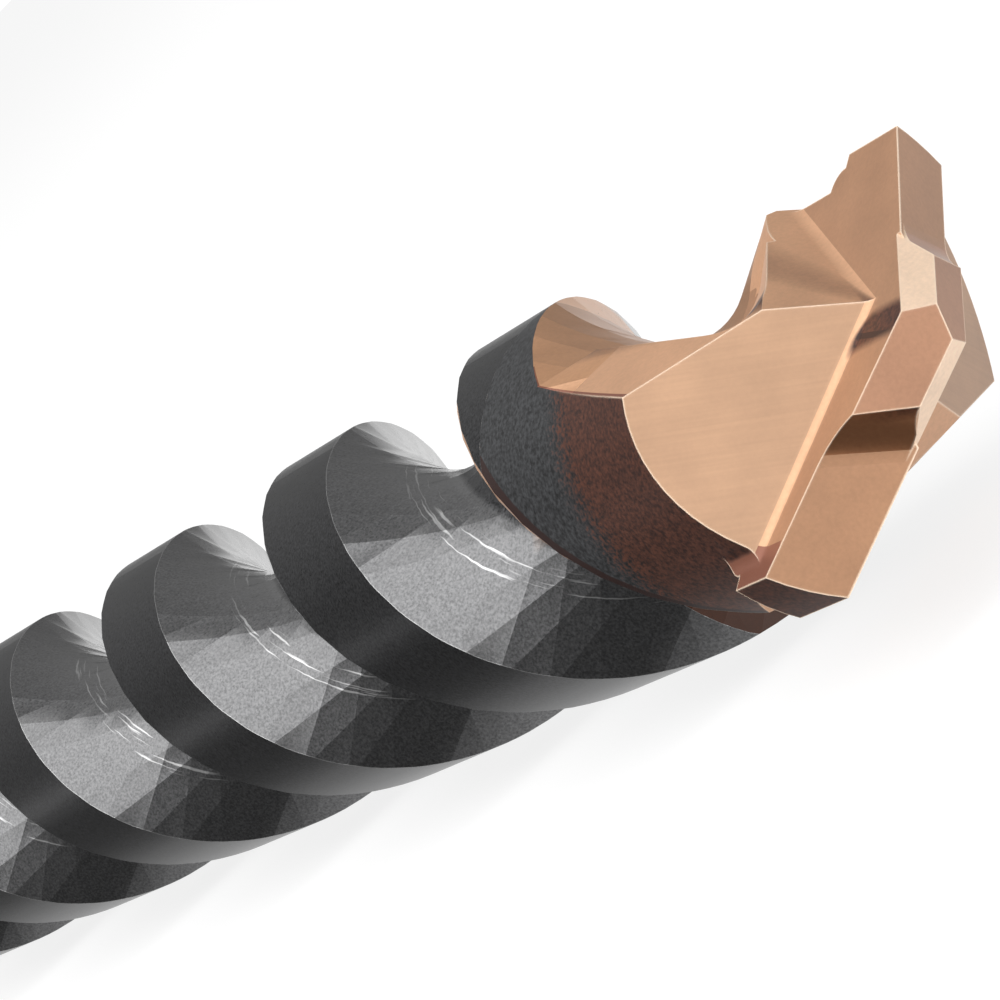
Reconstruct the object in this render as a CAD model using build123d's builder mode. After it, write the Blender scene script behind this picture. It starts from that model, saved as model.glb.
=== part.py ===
from build123d import *
from math import atan, cos, degrees, pi, radians, sin, sqrt, tan
import os

# Hammer-drill masonry bit lying on its side: the axis runs along X, the tip points to +X.
# The origin is on the axis, in the flat end of the shank.

# Driving dimensions, in millimetres and degrees
overall_length = 160.0
head_diameter = 10.3            # across the two cutting corners
flute_diameter = 8.75           # across the lands of the fluted body
flute_lead = 24.0               # one full turn of the right-hand helix
facet_turn = 12.0               # turn between two cutter marks across a flute
head_length = 12.9              # tip to the flat butt joint

# Flute section, square to the helix
flute_width = 5.64
heel_angle = 31.0
rake_angle = 46.5
root_radius = 1.5
edge_bevel = 0.16               # narrow bevel along the leading edge of each land
bevel_rise = 0.2                # slope of that bevel
flute_runout = 9.0              # stretch over which the flute climbs out at the shank end
full_flute_x = 54.0             # where the flute reaches its full depth
opening = 0.7                   # how much the rake wall opens with each of the last sections
opening_sections = 2
exit_step = 1                   # the section from which the flute leaves in a straight line
exit_course = (0.338, -0.323, 0.884)        # along d, along n, along the axis
exit_length = 14.0

# Where the trailing corner of the last flute section meets the head
heel_corner_back = 9.82         # behind the tip
heel_corner_turn = 119.9        # turned from +Y towards +Z

# Shank
shank_diameter = 10.0
shank_length = 42.0
neck_length = 2.5
shank_end_bevel = 1.0
keyway_width = 3.0
keyway_depth = 1.4
keyway_length = 33.0
ball_groove_width = 4.2
ball_groove_depth = 1.1
ball_groove_length = 20.5
ball_groove_middle = 21.0

# Head: d runs out along one cutter, n square to it, heights are measured from the tip.
# A ground face is given as its rise along d, its rise along n and its height on the axis.
blade_turn = 202.56             # direction of d, turned from +Y towards +Z
blade_thickness = 1.55
gauge_length = 5.0              # tip to the foot of the full-diameter stretch
gauge_foot_radius = 0.45
shoulder_radius = 4.5           # land radius where the shoulders are ground
shoulder_back = 5.0
tip_relief = (-0.539, 0.593, 0.0)
tip_front = (-0.543, -1.15, 0.459)
flank = (-0.511, 0.494, -0.713)
shoulder = (-0.4395, 0.7654, -1.6275)
gullet = (1.377, 1.286, 0.0175)
heel_facet = (-0.354, -0.667, 0.154)        # square to the facet behind each shoulder
heel_facet_corner = (0.56, -4.34, -9.82)    # its lowest corner, on the land
tip_relief_corner = 1.947       # along d, raised tip on its trailing side
tip_ridge_end = (1.601, 0.254)  # outer end of the ridge between relief and front
tip_front_corner = 2.126        # along d, raised tip on its leading side
raised_tip_depth = 4.0
recess_reach = 0.95             # the hollow foot of the raised tip runs this far out over the flank
recess_radius = 1.36
recess_sweep = 60.0             # arc of the hollow, enough to reach the top of the tip's wall
root_fillet = 0.4               # where the shoulder, the gullet and the land meet the blade's wall
root_edges = 3                  # those three are the longest edges a shoulder leaves on that wall

# Worked-out sizes
flute_radius = flute_diameter / 2
head_radius = head_diameter / 2
shank_radius = shank_diameter / 2
joint_x = overall_length - head_length
half_blade = blade_thickness / 2
beyond = 4 * head_radius        # a reach well outside the part
over_cut = 1.0                  # how far a cutter stands clear of the face it enters

# Head frame: local x is d, local y is n, local z points out of the tip
head_frame = Plane(
    origin=(overall_length, 0, 0),
    x_dir=(0, cos(radians(blade_turn)), sin(radians(blade_turn))),
    z_dir=(1, 0, 0),
)


def in_head(plane):
    """A plane given in the head frame, in the part's own frame."""
    return Plane(head_frame.location * plane.location)


def ground_face(rises, side=1):
    """The plane of a ground face, facing out; side -1 is the face of the opposite cutter."""
    d_rise, n_rise, height = rises
    return in_head(
        Plane(
            origin=(0, 0, height),
            x_dir=(1, 0, side * d_rise),
            z_dir=(-side * d_rise, -side * n_rise, 1),
        )
    )


# Flute: one groove, as a ruled run of sections that stand square to the helix
square_radius = 0.75 * flute_radius     # radius at which a section is square to the helix
path_slope = 2 * pi * square_radius / flute_lead
section_stretch = sqrt(1 + path_slope**2)
corner_out = flute_width / 2
corner_up = sqrt(flute_radius**2 - (corner_out / section_stretch) ** 2)
heel_rise = tan(radians(heel_angle))
rake_rise = tan(radians(rake_angle))
root_x = corner_out * (rake_rise - heel_rise) / (rake_rise + heel_rise)
root_y = corner_up - heel_rise * (root_x + corner_out)
corner_turn = degrees(atan(corner_out / section_stretch / corner_up))
last_turn = heel_corner_turn - corner_turn
last_x = overall_length - heel_corner_back + path_slope * corner_out / section_stretch
groove_run = last_x - full_flute_x + flute_runout
section_count = round(groove_run / flute_lead * 360 / facet_turn)
over_land = 0.8                 # how far a section reaches past the land on each side
crown_height = 1.35 * flute_radius


def flute_plane(step):
    """The plane of one section, counted back from the last one at the head."""
    turn = radians(last_turn - step * facet_turn)
    x = last_x - step * facet_turn / 360 * flute_lead
    lift = (flute_radius - root_y) * max(0, full_flute_x - x) / flute_runout
    return Plane(
        origin=(x, lift * cos(turn), lift * sin(turn)),
        x_dir=(path_slope, sin(turn), -cos(turn)),
        z_dir=(1, -path_slope * sin(turn), path_slope * cos(turn)),
    )


with BuildPart() as flute:
    for step in range(section_count, -1, -1):
        widening = opening * max(0, opening_sections - step)
        lowest_x = root_x + widening * rake_rise / (rake_rise + heel_rise)
        with BuildSketch(flute_plane(step)) as section:
            with BuildLine():
                heel_end = (-corner_out - over_land, corner_up + over_land * heel_rise)
                lowest = (lowest_x, corner_up - heel_rise * (lowest_x + corner_out))
                bevel_foot = (
                    corner_out + widening - edge_bevel * cos(radians(rake_angle)),
                    corner_up - edge_bevel * sin(radians(rake_angle)),
                )
                bevel_end = (bevel_foot[0] + over_land, bevel_foot[1] + bevel_rise * over_land)
                FilletPolyline(heel_end, lowest, bevel_foot, radius=root_radius)
                Polyline(bevel_foot, bevel_end, (0, crown_height), heel_end)
            make_face()
        if step == exit_step:
            exit_section = section.sketch
    loft(ruled=True)

# Straight run in which the flute leaves the head
with BuildPart() as flute_exit:
    course = head_frame.from_local_coords(exit_course) - head_frame.origin
    extrude(exit_section, amount=exit_length, dir=course)

# Steel body: fluted rod, neck and slotted shank in one piece
with BuildPart() as steel_body:
    with BuildSketch(Plane.XZ):
        with BuildLine():
            Polyline(
                (0, 0),
                (0, shank_radius - shank_end_bevel),
                (shank_end_bevel, shank_radius),
                (shank_length, shank_radius),
                (shank_length + neck_length, flute_radius),
                (joint_x, flute_radius),
                (joint_x, 0),
                close=True,
            )
        make_face()
    revolve(axis=Axis.X)
    add(flute.part, mode=Mode.SUBTRACT)
    add(flute.part.rotate(Axis.X, 180), mode=Mode.SUBTRACT)
    for turn in (0, 180):
        with BuildSketch(Plane.XY.rotated((turn, 0, 0)).offset(shank_radius - keyway_depth)):
            SlotOverall(2 * keyway_length, keyway_width)
        extrude(amount=keyway_depth + over_cut, mode=Mode.SUBTRACT)
    for turn in (90, 270):
        with BuildSketch(Plane.XY.rotated((turn, 0, 0)).offset(shank_radius - ball_groove_depth)):
            with Locations((ball_groove_middle, 0)):
                SlotOverall(ball_groove_length, ball_groove_width)
        extrude(amount=ball_groove_depth + over_cut, mode=Mode.SUBTRACT)

# Shoulder of one cutter and gullet of the other: the half of the head on the -n side
with BuildPart() as shoulder_half:
    with BuildSketch(Plane.XZ):
        with BuildLine():
            Polyline(
                (joint_x, 0),
                (joint_x, flute_radius),
                (overall_length - shoulder_back, shoulder_radius),
                (overall_length, shoulder_radius),
                (overall_length, 0),
                close=True,
            )
        make_face()
    revolve(axis=Axis.X)
    split(bisect_by=in_head(Plane.XZ), keep=Keep.TOP)
    split(bisect_by=ground_face(shoulder), keep=Keep.BOTTOM)
    split(bisect_by=ground_face(gullet), keep=Keep.BOTTOM)

# Raised centring tip: two relief faces and two front faces that meet in a short chisel edge
with BuildPart() as raised_tip:
    with BuildSketch(in_head(Plane.XY.offset(-raised_tip_depth))):
        with BuildLine():
            Polyline(
                (tip_relief_corner, -half_blade),
                tip_ridge_end,
                (tip_front_corner, half_blade),
                (-tip_relief_corner, half_blade),
                (-tip_ridge_end[0], -tip_ridge_end[1]),
                (-tip_front_corner, -half_blade),
                close=True,
            )
        make_face()
    raised_footprint = extrude(amount=raised_tip_depth)
    for side in (1, -1):
        split(bisect_by=ground_face(tip_relief, side), keep=Keep.BOTTOM)
        split(bisect_by=ground_face(tip_front, side), keep=Keep.BOTTOM)

# Blade: the full-diameter ridge that carries both cutting edges
with BuildPart() as blade:
    with BuildSketch(in_head(Plane.XY.offset(-head_length))):
        Rectangle(2 * beyond, blade_thickness)
    extrude(amount=head_length)
    for side in (1, -1):
        split(bisect_by=ground_face(flank, side), keep=Keep.BOTTOM)
    with BuildSketch(Plane.XZ):
        with BuildLine():
            foot_x = overall_length - gauge_length
            Polyline(
                (foot_x, flute_radius + gauge_foot_radius),
                (foot_x, head_radius),
                (overall_length, head_radius),
                (overall_length, 0),
                (joint_x, 0),
                (joint_x, flute_radius),
                (foot_x - gauge_foot_radius, flute_radius),
            )
            RadiusArc(
                (foot_x - gauge_foot_radius, flute_radius),
                (foot_x, flute_radius + gauge_foot_radius),
                gauge_foot_radius,
            )
        make_face()
    revolve(axis=Axis.X, mode=Mode.INTERSECT)
    add(raised_footprint, mode=Mode.SUBTRACT)

# Hollow foot of the raised tip: a cylinder that runs off the wall on its relief side onto the flank
with BuildPart() as recess_foot:
    foot_end, foot_start = (
        Vector(d, n, flank[2] + flank[0] * d + flank[1] * n)
        for d, n in ((tip_relief_corner, -half_blade), tip_ridge_end)
    )
    foot_line = foot_end - foot_start
    flank_normal = Vector(-flank[0], -flank[1], 1)
    foot_plane = Plane(origin=foot_start, x_dir=flank_normal.cross(foot_line), z_dir=foot_line)
    with BuildSketch(in_head(foot_plane)):
        with BuildLine():
            hollow = JernArc((recess_reach, 0), (-1, 0), recess_radius, -recess_sweep)
            Polyline(
                hollow @ 1,
                ((hollow @ 1).X, -recess_reach),
                (recess_reach, -recess_reach),
                hollow @ 0,
            )
        make_face()
    extrude(amount=2 * foot_line.length, both=True)
    with BuildSketch(in_head(Plane.XY.offset(-head_length))):
        Rectangle(2 * beyond, blade_thickness)
    extrude(amount=head_length, mode=Mode.INTERSECT)
    split(bisect_by=ground_face(tip_relief), keep=Keep.BOTTOM)
    split(bisect_by=ground_face(tip_front), keep=Keep.BOTTOM)

# Stock ground away behind each shoulder, down to the heel facet
with BuildPart() as heel_cut:
    with BuildSketch(in_head(Plane.XY.offset(-head_length))):
        with Locations((0, -beyond / 2 - half_blade)):
            Rectangle(2 * beyond, beyond)
    extrude(amount=head_length)
    facet_plane = in_head(Plane(origin=heel_facet_corner, z_dir=heel_facet))
    split(bisect_by=facet_plane, keep=Keep.TOP)
    split(bisect_by=flute_plane(0), keep=Keep.TOP)

with BuildPart() as carbide_head:
    add(blade.part)
    add(raised_tip.part)
    for turn in (0, 180):
        add(recess_foot.part.rotate(Axis.X, turn))
    for turn in (0, 180):
        add(shoulder_half.part.rotate(Axis.X, turn))
        wall = in_head(Plane.XZ.rotated((0, 0, turn)).offset(half_blade))
        roots = edges(Select.NEW).filter_by(lambda edge: wall.contains(edge @ 0.5))
        fillet(roots.sort_by(SortBy.LENGTH)[-root_edges:], root_fillet)
    for turn in (0, 180):
        for cut in (heel_cut, flute, flute_exit):
            add(cut.part.rotate(Axis.X, turn), mode=Mode.SUBTRACT)

steel_body.part.label = "steel_body"
carbide_head.part.label = "carbide_head"

os.makedirs("parts", exist_ok=True)
export_step(steel_body.part, "parts/steel_body.step")
export_step(carbide_head.part, "parts/carbide_head.step")
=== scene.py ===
"""Looks of a masonry drill bit: a ground carbide head brazed to a grooved rod of oxidised steel."""

import math

import bpy
from mathutils import Matrix, Vector


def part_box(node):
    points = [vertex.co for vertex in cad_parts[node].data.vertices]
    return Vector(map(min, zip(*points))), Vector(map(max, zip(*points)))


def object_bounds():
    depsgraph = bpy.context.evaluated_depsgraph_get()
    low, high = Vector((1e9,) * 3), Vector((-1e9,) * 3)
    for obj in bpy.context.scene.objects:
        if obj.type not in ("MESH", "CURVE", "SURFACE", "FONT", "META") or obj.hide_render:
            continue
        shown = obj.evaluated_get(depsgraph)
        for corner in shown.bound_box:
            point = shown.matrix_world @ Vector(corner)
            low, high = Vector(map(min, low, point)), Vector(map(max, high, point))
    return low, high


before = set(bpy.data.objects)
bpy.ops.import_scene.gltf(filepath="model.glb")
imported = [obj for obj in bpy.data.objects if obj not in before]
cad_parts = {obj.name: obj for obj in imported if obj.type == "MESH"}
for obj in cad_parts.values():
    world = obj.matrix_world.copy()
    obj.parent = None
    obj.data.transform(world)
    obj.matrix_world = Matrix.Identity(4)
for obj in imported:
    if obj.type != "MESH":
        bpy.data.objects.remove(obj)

bl_info = {
    "name": "Masonry drill bit looks",
    "version": (1, 0, 0),
    "blender": (4, 5, 0),
    "location": "3D View > Sidebar > Drill bit",
    "description": "Finishes the carbide head and the steel body of a masonry drill bit and sets its stage",
    "category": "Material",
}

CAD_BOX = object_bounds()
MM = 0.001
HEAD = "carbide_head"
BODY = "steel_body"
TIP_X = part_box(HEAD)[1].x / MM

# Sizes are in mm, and angles in degrees from +Y towards +Z
LAND_RADIUS = 4.375          # from the axis to the lands
HELIX_LEAD = 24.0            # for one turn of the right-hand helix
LAST_CUT_TURN = 90.63        # where the cutter's last step points
CUTTER_STEP = 12.0           # between two steps of the cutter along the groove
STEP_BORDER = 13.425         # where the border of one step would meet the axis
STEP_LEAN = 2.5              # how far that border turns back for each mm out from the axis
BLADE_TURN = 202.56          # where one cutting edge points
BLADE_HALF = 0.775           # half the thickness of the blade
GRINDING_TURN = 224.56       # the grinding lines of the shoulders lie square to this
GLINT_RADIUS = 2.75        # where painted glints streak the wall of the groove
GLINT_REACH = 0.25         # how far the glints spread from there
LAND_EDGE_TURN = -61.0       # from the middle of the groove to the browned band on the leading land
LAND_EDGE_HALF = 5.0         # half the width of that band
BLACKENING_REACH = 3.0       # how far the grain shifts the border between brown and black
FACE_SLACK = 0.03            # how far off its plane a ground face is still known
MARGIN = 0.01                # keeps a limit clear of the faces that lie on it
HEAT_TINT_PAINTED_LIGHT_HEIGHT = (0.4, 1.0)     # Z between which the heat tint fades in, kept to the upper side as painted light
CARD_EDGE = (-7.0, -1.0)     # Y between which the black card beside the bit fades out

# Distances back from the tip, in mm
HOLLOW_END = 2.8             # the hollow feet of the raised tip lie before this
BEHIND_GAUGE = 3.4           # the browner carbide behind the gauge faces starts here
EDGE_FADE = (6.0, 9.0)       # the pale edges of the head fade out between these
LAST_CUT_BACK = 7.98         # the cutter's last step stands here
BROWN_END = 8.4              # the lands are brown up to about here
BLACK_START = 9.1            # and black from about here
HEAT_FADE = (14.8, 15.6)     # the heat tint in the steel's groove fades out between these

# Cosines between a normal and a direction
LAND_FACING = 0.95           # a land faces outwards by this much or more
HEAD_LAND_FADE = (0.85, 0.95)       # the burnt finish of the head's lands fades in between these
BODY_LAND_FADE = (0.9, 0.96)        # and so does the darker finish of the body's lands
FACE_MATCH = 0.98            # a flat face that lies in a direction matches it by this much or more
HOLLOW_RISE = 0.2            # the hollow feet face the tip by more than this
EDGE_MATCH = (0.985, 0.93)   # the rounded normal matches the true one: no edge highlight, full highlight

# Stage: lengths in metres, and brightness and shares where 1 is full white
FLOOR_HALF = 3.0
LAMP_DISTANCE = 0.6
PAPER_GLOW = 1.15
GLOW_TO_CAMERA = 0.72        # the rest of what the camera sees is lit paper, which keeps the shadow
GLOW_IN_METAL = (0.1, 0.85)  # over the black card, and past it
STUDIO_DIM = (0.12, 0.48)    # level with the bit, and overhead
BACKDROP_WHITE = 1.2

# Ground faces of the head, in the order in which their tones are laid: rise along the cutter, rise
# across it, and height on the axis in mm
GROUND_FACES = {
    "flank": (-0.511, 0.494, -0.713),
    "tip_front": (-0.543, -1.15, 0.459),
    "shoulder": (-0.4395, 0.7654, -1.6275),
    "tip_relief": (-0.539, 0.593, 0.0),
}


def linear(hex_code):
    """An sRGB hex colour as linear red, green, blue and full alpha."""
    parts = [int(hex_code[i:i + 2], 16) / 255 for i in (1, 3, 5)]
    return tuple(p / 12.92 if p <= 0.04045 else ((p + 0.055) / 1.055) ** 2.4 for p in parts) + (1.0,)


def add_node(tree, kind, inputs=None, **settings):
    """Adds one node: settings are its properties, inputs its sockets' values or what links to them."""
    made = tree.nodes.new(kind)
    for name, value in settings.items():
        setattr(made, name, value)
    for socket, value in (inputs or {}).items():
        if isinstance(value, bpy.types.NodeSocket):
            tree.links.new(value, made.inputs[socket])
        else:
            made.inputs[socket].default_value = value
    return made


def share_where(tree, tests):
    """1 where every test (value, operation, limits) holds and 0 elsewhere."""
    share = 1.0
    for value, operation, limits in tests:
        held = add_node(tree, "ShaderNodeMath", {0: value} | limits, operation=operation).outputs[0]
        share = add_node(tree, "ShaderNodeMath", {0: share, 1: held}, operation="MULTIPLY").outputs[0]
    return share


def mottle(tree, grain, dark, light):
    """A colour that runs from dark to light with the grain."""
    share = add_node(
        tree, "ShaderNodeMapRange", {"Value": grain, "From Min": 0.35, "From Max": 0.65}).outputs[0]
    return add_node(
        tree, "ShaderNodeMix", {"Factor": share, 6: dark, 7: light}, data_type="RGBA").outputs[2]


def emptied_tree(owner):
    """The node tree of a material or a world, with nothing in it."""
    owner.use_nodes = True
    owner.node_tree.nodes.clear()
    return owner.node_tree


def new_material(name):
    """A material that holds one Principled shader and its output."""
    material = bpy.data.materials.new(name)
    tree = emptied_tree(material)
    shader = add_node(tree, "ShaderNodeBsdfPrincipled")
    add_node(tree, "ShaderNodeOutputMaterial", {"Surface": shader.outputs["BSDF"]})
    return material, tree, shader


def bit_coordinates(tree):
    """Place on the bit: the point in mm, its distance from the axis, and how far it faces outwards."""
    where = add_node(tree, "ShaderNodeTexCoord")
    point = add_node(
        tree, "ShaderNodeVectorMath", {0: where.outputs["Object"], "Scale": 1 / MM}, operation="SCALE",
    ).outputs[0]
    across = add_node(
        tree, "ShaderNodeVectorMath", {0: point, 1: (0, 1, 1)}, operation="MULTIPLY").outputs[0]
    radius = add_node(tree, "ShaderNodeVectorMath", {0: across}, operation="LENGTH").outputs["Value"]
    outwards = add_node(tree, "ShaderNodeVectorMath", {0: across}, operation="NORMALIZE").outputs[0]
    facing = add_node(
        tree, "ShaderNodeVectorMath", {0: outwards, 1: where.outputs["Normal"]}, operation="DOT_PRODUCT",
    ).outputs["Value"]
    return point, radius, facing


def groove_coordinates(tree, point, radius):
    """Angles in the groove, in radians: ahead of its middle, and past the middle of the cutter's step."""
    along, side, up = add_node(tree, "ShaderNodeSeparateXYZ", {0: point}).outputs
    angle = add_node(tree, "ShaderNodeMath", {0: up, 1: side}, operation="ARCTAN2").outputs[0]
    pitch = 2 * math.pi / HELIX_LEAD
    at_start = math.radians(LAST_CUT_TURN) - (TIP_X - LAST_CUT_BACK) * pitch
    middle = add_node(
        tree, "ShaderNodeMath", {0: along, 1: pitch, 2: at_start}, operation="MULTIPLY_ADD").outputs[0]
    from_middle = add_node(tree, "ShaderNodeMath", {0: angle, 1: middle}, operation="SUBTRACT").outputs[0]
    # The two grooves lie half a turn apart and count alike
    ahead = add_node(
        tree, "ShaderNodeMath", {0: from_middle, 1: math.pi / 2, 2: -math.pi / 2},
        operation="WRAP").outputs[0]

    upright = add_node(
        tree, "ShaderNodeMath", {0: radius, 1: math.radians(STEP_LEAN), 2: angle},
        operation="MULTIPLY_ADD").outputs[0]
    past_border = add_node(
        tree, "ShaderNodeMath", {0: upright, 1: math.radians(STEP_BORDER)}, operation="SUBTRACT").outputs[0]
    step = math.radians(CUTTER_STEP)
    in_step = add_node(
        tree, "ShaderNodeMath", {0: past_border, 1: step, 2: 0.0}, operation="WRAP").outputs[0]
    past_middle = add_node(
        tree, "ShaderNodeMath", {0: in_step, 1: step / 2}, operation="SUBTRACT").outputs[0]
    return ahead, past_middle


def cut_facet_normal(tree, point, past_middle, share):
    """The surface's normal, held still along each step of the cutter where the share is 1."""
    swing = add_node(
        tree, "ShaderNodeVectorMath", {0: (2 * math.pi / HELIX_LEAD, 0, 0), 1: point},
        operation="CROSS_PRODUCT").outputs[0]
    course = add_node(tree, "ShaderNodeVectorMath", {0: swing, 1: (1, 0, 0)}, operation="ADD").outputs[0]
    normal = add_node(tree, "ShaderNodeTexCoord").outputs["Normal"]
    leaning = add_node(
        tree, "ShaderNodeVectorMath", {0: normal, 1: course}, operation="PROJECT").outputs[0]
    taken = add_node(
        tree, "ShaderNodeVectorMath", {0: leaning, "Scale": share}, operation="SCALE").outputs[0]
    square = add_node(tree, "ShaderNodeVectorMath", {0: normal, 1: taken}, operation="SUBTRACT").outputs[0]
    unit = add_node(tree, "ShaderNodeVectorMath", {0: square}, operation="NORMALIZE").outputs[0]
    swung = add_node(tree, "ShaderNodeMath", {0: past_middle, 1: share}, operation="MULTIPLY").outputs[0]
    held = add_node(
        tree, "ShaderNodeVectorRotate", {"Vector": unit, "Angle": swung}, rotation_type="X_AXIS",
        invert=True).outputs[0]
    return add_node(
        tree, "ShaderNodeVectorTransform", {0: held}, vector_type="NORMAL", convert_from="OBJECT",
        convert_to="WORLD").outputs[0]


def edge_share(tree, width):
    """1 on the sharp edges and 0 a little way off them; the width is in mm."""
    rounded = add_node(tree, "ShaderNodeBevel", {"Radius": width * MM}, samples=6).outputs[0]
    sharp = add_node(tree, "ShaderNodeNewGeometry").outputs["Normal"]
    alike = add_node(
        tree, "ShaderNodeVectorMath", {0: rounded, 1: sharp}, operation="DOT_PRODUCT").outputs["Value"]
    unhighlit, full = EDGE_MATCH
    return add_node(
        tree, "ShaderNodeMapRange", {"Value": alike, "From Min": unhighlit, "From Max": full}).outputs[0]


def blade_directions():
    """Unit vectors along the blade, towards one cutting edge, and across it."""
    turn = math.radians(BLADE_TURN)
    return Vector((0, math.cos(turn), math.sin(turn))), Vector((0, -math.sin(turn), math.cos(turn)))


def ground_face_share(tree, point, rises):
    """1 on a ground face of either cutter and 0 elsewhere."""
    normal = add_node(tree, "ShaderNodeTexCoord").outputs["Normal"]
    outwards, across = blade_directions()
    rise_out, rise_across, height = rises
    shares = []
    for side in (1, -1):
        square = Vector((1, 0, 0)) - (rise_out * outwards + rise_across * across) * side
        level = add_node(
            tree, "ShaderNodeVectorMath", {0: point, 1: tuple(square)}, operation="DOT_PRODUCT",
        ).outputs["Value"]
        alike = add_node(
            tree, "ShaderNodeVectorMath", {0: normal, 1: tuple(square.normalized())},
            operation="DOT_PRODUCT").outputs["Value"]
        shares.append(share_where(tree, (
            (level, "COMPARE", {1: TIP_X + height, 2: FACE_SLACK}),
            (alike, "GREATER_THAN", {1: FACE_MATCH}),
        )))
    return add_node(tree, "ShaderNodeMath", {0: shares[0], 1: shares[1]}, operation="MAXIMUM").outputs[0]


def burnt_land_colour(tree, settings, grain, along, ahead):
    """Heat of the brazing turns the lands brown, then black towards the joint, and browns their edge."""
    colour = mottle(tree, grain, settings.brown_dark_colour, settings.brown_light_colour)
    black = mottle(tree, grain, settings.black_dark_colour, settings.black_light_colour)
    blotched = add_node(
        tree, "ShaderNodeMath", {0: grain, 1: BLACKENING_REACH, 2: along}, operation="MULTIPLY_ADD",
    ).outputs[0]
    border = TIP_X + BLACKENING_REACH / 2
    blackened = add_node(
        tree, "ShaderNodeMapRange",
        {"Value": blotched, "From Min": border - BLACK_START, "From Max": border - BROWN_END,
         "To Min": 1.0, "To Max": 0.0}).outputs[0]
    leading_edge = add_node(
        tree, "ShaderNodeMath",
        {0: ahead, 1: math.radians(LAND_EDGE_TURN), 2: math.radians(LAND_EDGE_HALF)}, operation="COMPARE",
    ).outputs[0]
    for share, tint in ((blackened, black), (leading_edge, settings.land_edge_colour)):
        colour = add_node(
            tree, "ShaderNodeMix", {"Factor": share, 6: colour, 7: tint}, data_type="RGBA").outputs[2]
    return colour


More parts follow.
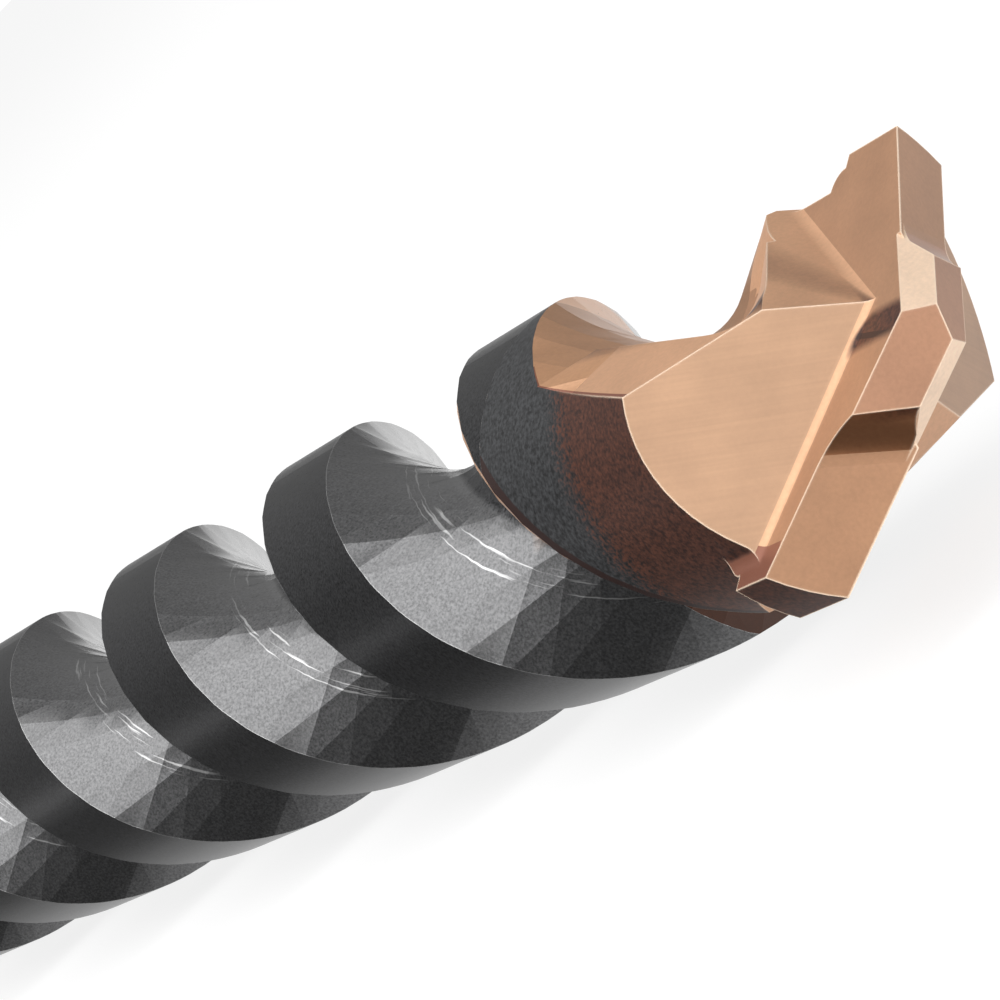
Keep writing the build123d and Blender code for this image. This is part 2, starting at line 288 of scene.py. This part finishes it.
def carbide_material(settings):
    """Cemented carbide, sintered, ground and tinted tan by heat."""
    # It gives the eye a satin tan with a fine grain, a tone on each ground face that is partly its own and
    # partly painted light and shade, brown and black mottled lands, a dark painted shade under the grooves,
    # and thin pale edges that are a painted highlight
    material, tree, shader = new_material("ground_cemented_carbide")
    point, radius, facing = bit_coordinates(tree)
    ahead, past_middle = groove_coordinates(tree, point, radius)
    along, _, up = add_node(tree, "ShaderNodeSeparateXYZ", {0: point}).outputs
    normal = add_node(tree, "ShaderNodeTexCoord").outputs["Normal"]
    outwards, across = blade_directions()

    # Where each kind of face lies: 1 on the face and 0 elsewhere
    sideways = add_node(
        tree, "ShaderNodeVectorMath", {0: normal, 1: tuple(across)}, operation="DOT_PRODUCT",
    ).outputs["Value"]
    sheer = add_node(tree, "ShaderNodeMath", {0: sideways}, operation="ABSOLUTE").outputs[0]
    blade_wall = add_node(
        tree, "ShaderNodeMath", {0: sheer, 1: FACE_MATCH}, operation="GREATER_THAN").outputs[0]
    groove_tests = (
        (along, "LESS_THAN", {1: TIP_X - LAST_CUT_BACK}),
        (facing, "LESS_THAN", {1: LAND_FACING}),
    )
    in_groove = share_where(tree, groove_tests)
    # Painted shade: the underside of the grooves in the head is coloured dark brown
    under = share_where(tree, groove_tests + ((up, "LESS_THAN", {1: 0.0}),))
    faces = {name: ground_face_share(tree, point, rises) for name, rises in GROUND_FACES.items()}
    ground = 0.0
    for share in faces.values():
        ground = add_node(tree, "ShaderNodeMath", {0: ground, 1: share}, operation="ADD").outputs[0]
    rise = add_node(tree, "ShaderNodeSeparateXYZ", {0: normal}).outputs["X"]
    aside = add_node(
        tree, "ShaderNodeVectorMath", {0: point, 1: tuple(across)}, operation="DOT_PRODUCT",
    ).outputs["Value"]
    hollow = share_where(tree, (
        (ground, "LESS_THAN", {1: 0.5}),
        (rise, "GREATER_THAN", {1: HOLLOW_RISE}),
        (along, "GREATER_THAN", {1: TIP_X - HOLLOW_END}),
        (aside, "COMPARE", {1: 0.0, 2: BLADE_HALF - MARGIN}),
    ))
    out = add_node(
        tree, "ShaderNodeVectorMath", {0: point, 1: tuple(outwards)}, operation="DOT_PRODUCT",
    ).outputs["Value"]
    quarter = add_node(tree, "ShaderNodeMath", {0: out, 1: aside}, operation="MULTIPLY").outputs[0]
    behind_gauge = share_where(tree, (
        (ground, "LESS_THAN", {1: 0.5}),
        (radius, "GREATER_THAN", {1: LAND_RADIUS + 2 * MARGIN}),
        (along, "LESS_THAN", {1: TIP_X - BEHIND_GAUGE}),
        (quarter, "LESS_THAN", {1: 0.0}),
    ))
    land = add_node(
        tree, "ShaderNodeMapRange",
        {"Value": facing, "From Min": HEAD_LAND_FADE[0], "From Max": HEAD_LAND_FADE[1]}).outputs[0]

    # Speckle of the grain, with grinding lines on the shoulders, and faint clouds. The real grain, a few
    # thousandths of a millimetre, and the real lines, a few hundredths, are too fine to show, so they
    # are drawn as coarse as they need to. A line runs on for about 3 mm
    grain = add_node(
        tree, "ShaderNodeTexNoise",
        {"Vector": point, "Scale": 1 / settings.carbide_grain, "Detail": 3.0, "Roughness": 0.6},
    ).outputs["Fac"]
    cloud = add_node(
        tree, "ShaderNodeTexNoise", {"Vector": point, "Scale": 1 / settings.carbide_cloud, "Detail": 2.0},
    ).outputs["Fac"]
    turned = add_node(
        tree, "ShaderNodeVectorRotate", {"Vector": point, "Angle": -math.radians(GRINDING_TURN)},
        rotation_type="X_AXIS").outputs[0]
    stretched = add_node(
        tree, "ShaderNodeVectorMath", {0: turned, 1: (0.3, 1 / settings.line_spacing, 0.3)},
        operation="MULTIPLY").outputs[0]
    lines = add_node(
        tree, "ShaderNodeTexNoise", {"Vector": stretched, "Scale": 1.0, "Detail": 2.0}).outputs["Fac"]
    lined = add_node(
        tree, "ShaderNodeMath", {0: faces["shoulder"], 1: settings.line_share}, operation="MULTIPLY",
    ).outputs[0]
    speckle = add_node(
        tree, "ShaderNodeMix", {"Factor": lined, 2: grain, 3: lines}, data_type="FLOAT").outputs[0]
    light = 1.0
    for pattern, darkest, lightest in ((speckle, 0.94, 1.05), (cloud, 0.92, 1.06)):
        swing = add_node(
            tree, "ShaderNodeMapRange",
            {"Value": pattern, "From Min": 0.3, "From Max": 0.7, "To Min": darkest, "To Max": lightest},
        ).outputs[0]
        light = add_node(tree, "ShaderNodeMath", {0: light, 1: swing}, operation="MULTIPLY").outputs[0]

    # Each kind of face gets its own tone, partly the carbide's own colour and partly painted light and
    # shade
    colour = settings.gullet_colour
    for share, tint in (
        (blade_wall, settings.blade_wall_colour),
        (in_groove, settings.groove_colour),
        (under, settings.groove_under_painted_shade_colour),
        *((share, getattr(settings, name + "_colour")) for name, share in faces.items()),
        (hollow, settings.hollow_colour),
    ):
        colour = add_node(
            tree, "ShaderNodeMix", {"Factor": share, 6: colour, 7: tint}, data_type="RGBA").outputs[2]
    colour = add_node(
        tree, "ShaderNodeVectorMath", {0: colour, "Scale": light}, operation="SCALE").outputs[0]

    # Browner carbide behind the gauges, heat on the lands and a painted edge highlight lie over the tones
    edge = edge_share(tree, settings.edge_width)
    near, far = EDGE_FADE
    unburnt = add_node(
        tree, "ShaderNodeMapRange",
        {"Value": along, "From Min": TIP_X - far, "From Max": TIP_X - near}).outputs[0]
    highlit = add_node(tree, "ShaderNodeMath", {0: edge, 1: unburnt}, operation="MULTIPLY").outputs[0]
    for share, tint in (
        (behind_gauge, settings.behind_gauge_colour),
        (land, burnt_land_colour(tree, settings, grain, along, ahead)),
        (highlit, settings.carbide_edge_highlight_colour),
    ):
        colour = add_node(
            tree, "ShaderNodeMix", {"Factor": share, 6: colour, 7: tint}, data_type="RGBA").outputs[2]
    tree.links.new(colour, shader.inputs["Base Color"])

    # The oxide dulls the metal, but the grinding wheel polished the hollow foot of the raised tip, and
    # chips the groove
    metallic = add_node(
        tree, "ShaderNodeMapRange", {"Value": hollow, "To Min": 0.35, "To Max": 0.9}).outputs[0]
    tree.links.new(metallic, shader.inputs["Metallic"])
    polished = add_node(tree, "ShaderNodeMath", {0: in_groove, 1: hollow}, operation="MAXIMUM").outputs[0]
    rough = add_node(
        tree, "ShaderNodeMapRange", {"Value": polished, "To Min": 0.42, "To Max": 0.28}).outputs[0]
    tree.links.new(rough, shader.inputs["Roughness"])
    held = cut_facet_normal(tree, point, past_middle, in_groove)
    bump = add_node(
        tree, "ShaderNodeBump",
        {"Height": speckle, "Strength": 0.25, "Distance": 0.006 * MM, "Normal": held}).outputs[0]
    tree.links.new(bump, shader.inputs["Normal"])
    return material


def steel_material(settings):
    """Tool steel, milled in steps and blackened, with a film of oil in its grooves."""
    # It gives the eye a dark and finely mottled grey that changes from one step of the cutter to the
    # next, with darker lands, a heat tint kept to the upper wall as painted light, painted glints and a
    # painted highlight on the edges
    material, tree, shader = new_material("black_oxide_tool_steel")
    point, radius, facing = bit_coordinates(tree)
    ahead, past_middle = groove_coordinates(tree, point, radius)
    along, _, up = add_node(tree, "ShaderNodeSeparateXYZ", {0: point}).outputs
    land = add_node(
        tree, "ShaderNodeMapRange",
        {"Value": facing, "From Min": BODY_LAND_FADE[0], "From Max": BODY_LAND_FADE[1]}).outputs[0]
    off_land = add_node(tree, "ShaderNodeMath", {0: 1.0, 1: land}, operation="SUBTRACT").outputs[0]
    in_groove = add_node(
        tree, "ShaderNodeMath", {0: facing, 1: LAND_FACING}, operation="LESS_THAN").outputs[0]

    # Mottle of the oxide: the real one, a few thousandths of a millimetre, is too fine to show, so it is
    # drawn as coarse as it needs to
    grain = add_node(
        tree, "ShaderNodeTexNoise",
        {"Vector": point, "Scale": 1 / settings.steel_grain, "Detail": 4.0, "Roughness": 0.65},
    ).outputs["Fac"]
    colour = mottle(tree, grain, settings.steel_dark_colour, settings.steel_light_colour)
    land_colour = mottle(tree, grain, settings.land_dark_colour, settings.land_light_colour)

    # The brazing's heat tints the groove next to the head; its upper wall only, as painted light
    near, far = HEAT_FADE
    heated = add_node(
        tree, "ShaderNodeMapRange",
        {"Value": along, "From Min": TIP_X - far, "From Max": TIP_X - near}).outputs[0]
    painted_light_above = add_node(
        tree, "ShaderNodeMapRange",
        {"Value": up, "From Min": HEAT_TINT_PAINTED_LIGHT_HEIGHT[0], "From Max": HEAT_TINT_PAINTED_LIGHT_HEIGHT[1]}).outputs[0]
    heated_painted_light_above = add_node(tree, "ShaderNodeMath", {0: heated, 1: painted_light_above}, operation="MULTIPLY").outputs[0]
    heat_tint_and_painted_light = add_node(
        tree, "ShaderNodeMath", {0: heated_painted_light_above, 1: off_land}, operation="MULTIPLY").outputs[0]

    # Painted glints: thin bright streaks along the wall of the groove, each about 2 mm long
    trail = add_node(tree, "ShaderNodeCombineXYZ", {"X": radius, "Y": along}).outputs[0]
    drawn = add_node(
        tree, "ShaderNodeVectorMath", {0: trail, 1: (1 / settings.glint_spacing, 0.5, 1.0)},
        operation="MULTIPLY").outputs[0]
    glints = add_node(
        tree, "ShaderNodeTexNoise", {"Vector": drawn, "Scale": 1.0, "Detail": 1.0}).outputs["Fac"]
    bright = add_node(
        tree, "ShaderNodeMapRange",
        {"Value": glints, "From Min": 0.6, "From Max": 0.7, "To Max": settings.glint_share},
    ).outputs[0]
    deep_on_heel = share_where(tree, (
        (radius, "COMPARE", {1: GLINT_RADIUS, 2: GLINT_REACH}),
        (ahead, "GREATER_THAN", {1: 0.0}),
    ))
    painted_glints = add_node(
        tree, "ShaderNodeMath", {0: bright, 1: deep_on_heel}, operation="MULTIPLY").outputs[0]
    # The edges and the glints are a painted highlight
    edge = edge_share(tree, settings.edge_width / 2)
    highlit = add_node(tree, "ShaderNodeMath", {0: painted_glints, 1: edge}, operation="MAXIMUM").outputs[0]

    for share, tint in (
        (land, land_colour), (heat_tint_and_painted_light, settings.heat_tint_and_painted_light_colour), (highlit, settings.steel_edge_highlight_colour),
    ):
        colour = add_node(
            tree, "ShaderNodeMix", {"Factor": share, 6: colour, 7: tint}, data_type="RGBA").outputs[2]
    tree.links.new(colour, shader.inputs["Base Color"])

    # The groove has a film of oil, except where the heat tinted it and left a thick, dry oxide
    metallic = add_node(
        tree, "ShaderNodeMapRange", {"Value": heat_tint_and_painted_light, "To Min": 1.0, "To Max": 0.3}).outputs[0]
    tree.links.new(metallic, shader.inputs["Metallic"])
    rough = add_node(
        tree, "ShaderNodeMapRange", {"Value": grain, "To Min": 0.22, "To Max": 0.38}).outputs[0]
    tree.links.new(rough, shader.inputs["Roughness"])
    oiled = add_node(tree, "ShaderNodeMath", {0: off_land, 1: heat_tint_and_painted_light}, operation="SUBTRACT").outputs[0]
    tree.links.new(oiled, shader.inputs["Coat Weight"])
    shader.inputs["Coat Roughness"].default_value = 0.2
    held = cut_facet_normal(tree, point, past_middle, in_groove)
    bump = add_node(
        tree, "ShaderNodeBump",
        {"Height": grain, "Strength": 0.25, "Distance": 0.008 * MM, "Normal": held}).outputs[0]
    tree.links.new(bump, shader.inputs["Normal"])
    return material


def tone(name, description, hex_code):
    """A colour that a user can change, with an sRGB hex colour as its default."""
    return bpy.props.FloatVectorProperty(
        name=name, description=description, default=linear(hex_code), size=4, min=0.0, max=1.0,
        subtype="COLOR")


class BitFinish(bpy.types.PropertyGroup):
    """Sizes and colours of the finishes on the two pieces of the bit."""

    carbide_grain: bpy.props.FloatProperty(
        name="Carbide grain", description="Size of the speckle on the carbide, in millimetres", default=0.1)
    carbide_cloud: bpy.props.FloatProperty(
        name="Carbide clouds", description="Size of the faint patches on the carbide, in millimetres",
        default=1.5)
    line_spacing: bpy.props.FloatProperty(
        name="Grinding lines", description="Distance between the grinding lines, in millimetres",
        default=0.08)
    edge_width: bpy.props.FloatProperty(
        # The worn edges are drawn as a pale painted highlight
        name="Worn edge", description="Width of the bright worn edges, in millimetres", default=0.07)
    steel_grain: bpy.props.FloatProperty(
        name="Steel grain", description="Size of the mottle on the blackened steel, in millimetres",
        default=0.07)
    # The scratches are painted glints, thin streaks of painted highlight
    glint_spacing: bpy.props.FloatProperty(
        name="Scratches", description="Distance between the scratches in the groove, in millimetres",
        default=0.05)
    line_share: bpy.props.FloatProperty(
        name="Share of lines", description="How much of the shoulders' speckle is grinding lines",
        default=0.6, min=0.0, max=1.0, subtype="FACTOR")
    glint_share: bpy.props.FloatProperty(
        name="Share of scratches", description="How bright the scratches are against a worn edge",
        default=0.8, min=0.0, max=1.0, subtype="FACTOR")
    # The face tones below, down to the one behind the gauges, are partly the carbide's own colour and
    # partly painted light and shade
    gullet_colour: tone("Gullet", "Carbide of the gullets and the root fillets", "#d8a782")
    blade_wall_colour: tone("Blade wall", "Carbide of the blade's two sheer walls", "#b18565")
    groove_colour: tone("Carbide groove", "Carbide in the front end of the grooves", "#c4946f")
    # The underside tone of the carbide grooves is painted shade, a dark brown where less light falls
    groove_under_painted_shade_colour: tone("Groove, under", "Underside of the carbide grooves, browned more", "#4d2f22")
    flank_colour: tone("Flank", "Ground flanks of the cutters", "#b28564")
    tip_front_colour: tone("Tip front", "Front faces of the raised tip", "#fadcc0")
    shoulder_colour: tone("Shoulder", "Ground shoulders beside the blade", "#bc9576")
    tip_relief_colour: tone("Tip relief", "Relief faces of the raised tip", "#b08265")
    hollow_colour: tone("Hollow foot", "Hollow foot of the raised tip", "#a06e4e")
    behind_gauge_colour: tone("Behind the gauge", "Heated carbide behind the gauge faces", "#8a5642")
    brown_dark_colour: tone("Burnt brown, dark", "Dark of the brown mottle on the lands", "#331a12")
    brown_light_colour: tone("Burnt brown, light", "Light of the brown mottle on the lands", "#613828")
    black_dark_colour: tone("Burnt black, dark", "Dark of the black mottle on the lands", "#161617")
    black_light_colour: tone("Burnt black, light", "Light of the black mottle on the lands", "#464749")
    land_edge_colour: tone("Burnt land edge", "Band along the leading edge of the head's lands", "#2e1611")
    # Painted highlight on the head's edges
    carbide_edge_highlight_colour: tone("Worn carbide edge", "Pale edges of the head", "#ffe6cc")
    steel_dark_colour: tone("Steel, dark", "Dark of the mottle in the steel's grooves", "#424243")
    steel_light_colour: tone("Steel, light", "Light of the mottle in the steel's grooves", "#6c6c6d")
    land_dark_colour: tone("Steel land, dark", "Dark of the mottle on the steel's lands", "#222223")
    land_light_colour: tone("Steel land, light", "Light of the mottle on the steel's lands", "#59595b")
    # A heat tint that is kept to the upper wall of the groove as painted light
    heat_tint_and_painted_light_colour: tone("Heat tint", "Steel in the groove next to the brazed joint", "#e9b893")
    # Painted highlight on the steel's edges and its glints
    steel_edge_highlight_colour: tone("Worn steel edge", "Bright edges and scratches of the steel", "#c8c8c8")


class BitStage(bpy.types.PropertyGroup):
    """The stage: camera, lamps and floor."""

    azimuth: bpy.props.FloatProperty(
        name="Camera azimuth", description="Where the camera stands, turned from +X towards +Y",
        default=math.radians(-26.43), subtype="ANGLE")
    elevation: bpy.props.FloatProperty(
        name="Camera elevation", description="How far the camera looks down", default=math.radians(9.2),
        subtype="ANGLE")
    roll: bpy.props.FloatProperty(
        name="Camera roll", description="Turn of the picture about the line of sight",
        default=math.radians(-46.02), subtype="ANGLE")
    place: bpy.props.FloatVectorProperty(
        name="Camera place", description="Where the camera stands", default=(0.23478, -0.0469, 0.01818),
        subtype="TRANSLATION", unit="LENGTH")
    lens: bpy.props.FloatProperty(
        name="Lens", description="Focal length on a 36 mm sensor, in millimetres", default=162.0)
    overhead_azimuth: bpy.props.FloatProperty(
        name="Overhead azimuth", description="Where the overhead softbox hangs, turned from +X towards +Y",
        default=math.radians(-115), subtype="ANGLE")
    overhead_elevation: bpy.props.FloatProperty(
        name="Overhead elevation", description="How high the overhead softbox hangs",
        default=math.radians(68), subtype="ANGLE")
    overhead_size: bpy.props.FloatProperty(
        name="Overhead size", description="Side of the overhead softbox", default=0.65, unit="LENGTH")
    overhead_radiance: bpy.props.FloatProperty(
        name="Overhead brightness", description="Brightness of the overhead softbox's face", default=2.3)
    front_azimuth: bpy.props.FloatProperty(
        name="Front azimuth", description="Where the front softbox stands, turned from +X towards +Y",
        default=math.radians(-40), subtype="ANGLE")
    front_elevation: bpy.props.FloatProperty(
        name="Front elevation", description="How high the front softbox stands",
        default=math.radians(28), subtype="ANGLE")
    front_size: bpy.props.FloatProperty(
        name="Front size", description="Side of the front softbox", default=0.6, unit="LENGTH")
    front_radiance: bpy.props.FloatProperty(
        name="Front brightness", description="Brightness of the front softbox's face", default=1.6)
    paper_colour: tone("Paper", "Floor under the bit", "#e6e6e6")
    mirrored_paper_colour: tone("Mirrored paper", "Floor as the metal mirrors it", "#3c3c3c")


def view_axes(stage):
    """The picture's right, up and towards-the-viewer directions in the bit's frame."""
    flat = math.cos(stage.elevation)
    back = Vector((
        flat * math.cos(stage.azimuth), flat * math.sin(stage.azimuth), math.sin(stage.elevation)))
    level = Vector((-math.sin(stage.azimuth), math.cos(stage.azimuth), 0))
    upright = back.cross(level)
    right = level * math.cos(stage.roll) + upright * math.sin(stage.roll)
    return right, back.cross(right), back


class FinishCarbideHead(bpy.types.Operator):
    """Gives the carbide head its ground and heat-tinted finish"""

    bl_idname = "drill_bit.finish_carbide_head"
    bl_label = "Finish the carbide head"

    def execute(self, context):
        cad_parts[HEAD].data.materials[0] = carbide_material(context.scene.bit_finish)
        return {"FINISHED"}


class FinishSteelBody(bpy.types.Operator):
    """Gives the steel body its blackened finish"""

    bl_idname = "drill_bit.finish_steel_body"
    bl_label = "Finish the steel body"

    def execute(self, context):
        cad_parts[BODY].data.materials[0] = steel_material(context.scene.bit_finish)
        return {"FINISHED"}


def softbox(name, azimuth, elevation, size, radiance):
    """A square area lamp that faces the head from a direction, with the brightness of its own face."""
    flat = math.cos(elevation)
    towards = Vector((flat * math.cos(azimuth), flat * math.sin(azimuth), math.sin(elevation)))
    lamp = bpy.data.lights.new(name, "AREA")
    lamp.shape = "SQUARE"
    lamp.size = size
    lamp.energy = radiance * math.pi * size ** 2
    holder = bpy.data.objects.new(name, lamp)
    bpy.context.scene.collection.objects.link(holder)
    holder.location = Vector((TIP_X * MM, 0, 0)) + towards * LAMP_DISTANCE
    holder.rotation_euler = towards.to_track_quat("Z", "Y").to_euler()


class SetStage(bpy.types.Operator):
    """Lays the pale floor, hangs the soft lamps and places the camera"""

    bl_idname = "drill_bit.set_stage"
    bl_label = "Set the stage"

    def execute(self, context):
        stage = context.scene.bit_stage
        right, up, back = view_axes(stage)
        camera = bpy.data.cameras.new("camera")
        camera.lens = stage.lens
        camera.sensor_width = 36.0
        camera.clip_start = MM
        holder = bpy.data.objects.new("camera", camera)
        context.scene.collection.objects.link(holder)
        stance = Matrix((right, up, back)).transposed().to_4x4()
        holder.matrix_world = Matrix.Translation(stage.place) @ stance
        context.scene.camera = holder

        softbox(
            "overhead_softbox", stage.overhead_azimuth, stage.overhead_elevation, stage.overhead_size,
            stage.overhead_radiance)
        softbox(
            "front_softbox", stage.front_azimuth, stage.front_elevation, stage.front_size,
            stage.front_radiance)

        floor_mesh = bpy.data.meshes.new("floor")
        low = CAD_BOX[0].z
        turns = ((-1, -1), (1, -1), (1, 1), (-1, 1))
        corners = [(x * FLOOR_HALF, y * FLOOR_HALF, low) for x, y in turns]
        floor_mesh.from_pydata(corners, [], [(0, 1, 2, 3)])
        floor = bpy.data.objects.new("floor", floor_mesh)
        context.scene.collection.objects.link(floor)
        floor_mesh.materials.append(floor_material(stage))
        set_world(context.scene)
        context.scene.view_settings.view_transform = "Standard"
        return {"FINISHED"}


def floor_material(stage):
    """Matt white paper that glows, with a black card at the near side that only the metal mirrors."""
    # It gives the eye plain white with a soft shadow under the bit, and the metal a white far side and
    # a dark near side
    material = bpy.data.materials.new("white_paper_sweep")
    tree = emptied_tree(material)
    path = add_node(tree, "ShaderNodeLightPath")
    place = add_node(tree, "ShaderNodeTexCoord").outputs["Object"]
    side = add_node(tree, "ShaderNodeSeparateXYZ", {0: place}).outputs["Y"]
    carded = add_node(
        tree, "ShaderNodeMapRange",
        {"Value": side, "From Min": CARD_EDGE[0] * MM, "From Max": CARD_EDGE[1] * MM,
         "To Min": GLOW_IN_METAL[0], "To Max": GLOW_IN_METAL[1]}).outputs[0]
    mirrored = add_node(
        tree, "ShaderNodeMath", {0: path.outputs["Is Glossy Ray"], 1: path.outputs["Is Transmission Ray"]},
        operation="MAXIMUM").outputs[0]
    in_metal = add_node(tree, "ShaderNodeMath", {0: mirrored, 1: carded}, operation="MULTIPLY").outputs[0]
    to_camera = add_node(
        tree, "ShaderNodeMath", {0: path.outputs["Is Camera Ray"], 1: GLOW_TO_CAMERA}, operation="MULTIPLY",
    ).outputs[0]
    share = add_node(tree, "ShaderNodeMath", {0: in_metal, 1: to_camera}, operation="MAXIMUM").outputs[0]
    paper_colour = add_node(
        tree, "ShaderNodeMix",
        {"Factor": mirrored, 6: stage.paper_colour, 7: stage.mirrored_paper_colour}, data_type="RGBA",
    ).outputs[2]
    paper = add_node(tree, "ShaderNodeBsdfDiffuse", {"Color": paper_colour})
    white = add_node(tree, "ShaderNodeEmission", {"Color": linear("#ffffff"), "Strength": PAPER_GLOW})
    mixed = add_node(
        tree, "ShaderNodeMixShader", {0: share, 1: paper.outputs[0], 2: white.outputs[0]})
    add_node(tree, "ShaderNodeOutputMaterial", {"Surface": mixed.outputs[0]})
    return material


def set_world(scene):
    """A dim studio, brighter overhead, with a low white backdrop; the camera itself sees all white."""
    world = bpy.data.worlds.new("studio")
    scene.world = world
    tree = emptied_tree(world)
    back = view_axes(scene.bit_stage)[2]
    direction = add_node(tree, "ShaderNodeTexCoord").outputs["Generated"]
    height = add_node(tree, "ShaderNodeSeparateXYZ", {0: direction}).outputs["Z"]
    dim = add_node(
        tree, "ShaderNodeMapRange",
        {"Value": height, "From Min": 0.0, "From Max": 0.7, "To Min": STUDIO_DIM[0],
         "To Max": STUDIO_DIM[1]}).outputs[0]
    # The backdrop stands beyond the bit and ends a little above the floor
    facing = add_node(
        tree, "ShaderNodeVectorMath", {0: direction, 1: (-back.x, -back.y, 0)}, operation="DOT_PRODUCT",
    ).outputs["Value"]
    behind = add_node(
        tree, "ShaderNodeMapRange", {"Value": facing, "From Min": 0.3, "From Max": 0.6}).outputs[0]
    low = add_node(
        tree, "ShaderNodeMapRange", {"Value": height, "From Min": 0.1, "From Max": 0.0}).outputs[0]
    backdrop = add_node(tree, "ShaderNodeMath", {0: behind, 1: low}, operation="MULTIPLY").outputs[0]
    camera = add_node(tree, "ShaderNodeLightPath").outputs["Is Camera Ray"]
    white_share = add_node(tree, "ShaderNodeMath", {0: backdrop, 1: camera}, operation="MAXIMUM").outputs[0]
    strength = add_node(
        tree, "ShaderNodeMix", {"Factor": white_share, 2: dim, 3: BACKDROP_WHITE}, data_type="FLOAT",
    ).outputs[0]
    light = add_node(tree, "ShaderNodeBackground", {"Color": linear("#ffffff"), "Strength": strength})
    add_node(tree, "ShaderNodeOutputWorld", {"Surface": light.outputs[0]})


class DrillBitPanel(bpy.types.Panel):
    """Lists the steps that dress the bit."""

    bl_idname = "VIEW3D_PT_drill_bit"
    bl_label = "Masonry drill bit"
    bl_space_type = "VIEW_3D"
    bl_region_type = "UI"
    bl_category = "Drill bit"

    def draw(self, context):
        for step in STEPS:
            self.layout.operator(step.bl_idname)
        for group in (context.scene.bit_finish, context.scene.bit_stage):
            for name in group.bl_rna.properties.keys():
                if name not in ("rna_type", "name"):
                    self.layout.prop(group, name)


STEPS = (FinishCarbideHead, FinishSteelBody, SetStage)
CLASSES = (BitFinish, BitStage) + STEPS + (DrillBitPanel,)


def register():
    for each in CLASSES:
        bpy.utils.register_class(each)
    bpy.types.Scene.bit_finish = bpy.props.PointerProperty(type=BitFinish)
    bpy.types.Scene.bit_stage = bpy.props.PointerProperty(type=BitStage)


def unregister():
    del bpy.types.Scene.bit_stage
    del bpy.types.Scene.bit_finish
    for each in reversed(CLASSES):
        bpy.utils.unregister_class(each)


def main():
    register()
    bpy.ops.drill_bit.finish_carbide_head()
    bpy.ops.drill_bit.finish_steel_body()
    bpy.ops.drill_bit.set_stage()


if __name__ == "__main__":
    main()
